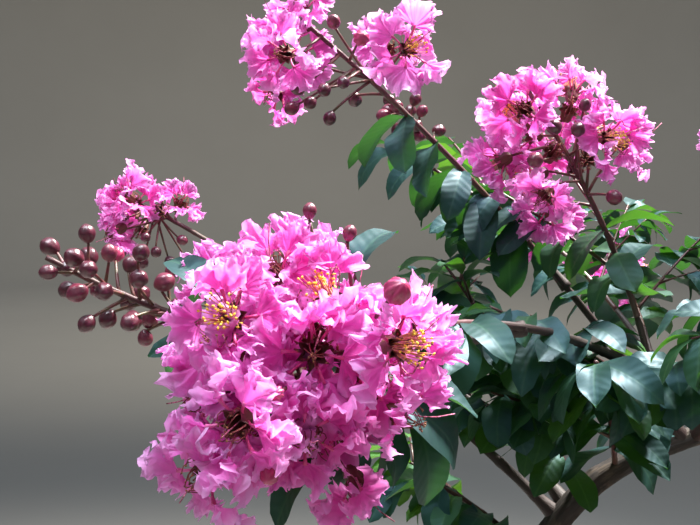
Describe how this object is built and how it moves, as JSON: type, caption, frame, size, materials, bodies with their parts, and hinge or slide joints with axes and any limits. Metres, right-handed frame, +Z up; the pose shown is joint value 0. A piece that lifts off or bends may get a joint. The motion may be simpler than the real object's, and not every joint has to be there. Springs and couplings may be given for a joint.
{
  "type": "potted crape myrtle",
  "caption": "Small flowering crape myrtle shrub in a round clay pot, with an S-shaped trunk, arching leafy limbs and trusses of ruffled pink blossom at their ends.",
  "frame": {"origin": "middle of the pot's flat underside", "axes": "+Z up; the picture looks along +Y, with +X to its right"},
  "size_m": [0.561, 0.5009, 0.6146],
  "materials": {
    "clay": "unglazed fired clay, matt",
    "soil": "moist crumbly potting soil",
    "bark": "smooth thin bark, satin",
    "foliage": "glossy leaves and soft crinkled petals"
  },
  "bodies": {
    "root": {"pot": "clay", "soil": "soil", "trunk": "bark", "bough_front_left": "bark", "bough_left_bud": "bark", "bough_left": "bark", "bough_upper_left": "bark", "bough_upper_back": "bark", "bough_upper_front": "bark", "bough_front": "bark", "bough_front_low": "bark", "bough_top_right": "bark", "bough_front_right": "bark", "bough_right_low": "bark", "bough_right": "bark", "bough_right_back": "bark", "bough_back": "bark", "bough_back_left": "bark", "bough_inner_back": "bark", "bough_top_back": "bark", "bough_top_front": "bark", "spray_front_left": "foliage", "spray_left_bud": "foliage", "spray_left": "foliage", "spray_upper_left": "foliage", "spray_upper_back": "foliage", "spray_upper_front": "foliage", "spray_low_left": "foliage", "spray_inner_left": "foliage", "spray_inner_front": "foliage", "spray_inner_mid": "foliage", "spray_front": "foliage", "spray_front_low": "foliage", "spray_top_right": "foliage", "spray_front_right": "foliage", "spray_right_low": "foliage", "spray_right": "foliage", "spray_right_back": "foliage", "spray_back": "foliage", "spray_back_left": "foliage", "spray_inner_back": "foliage", "spray_top_back": "foliage", "spray_top_front": "foliage"}
  },
  "joints": []
}
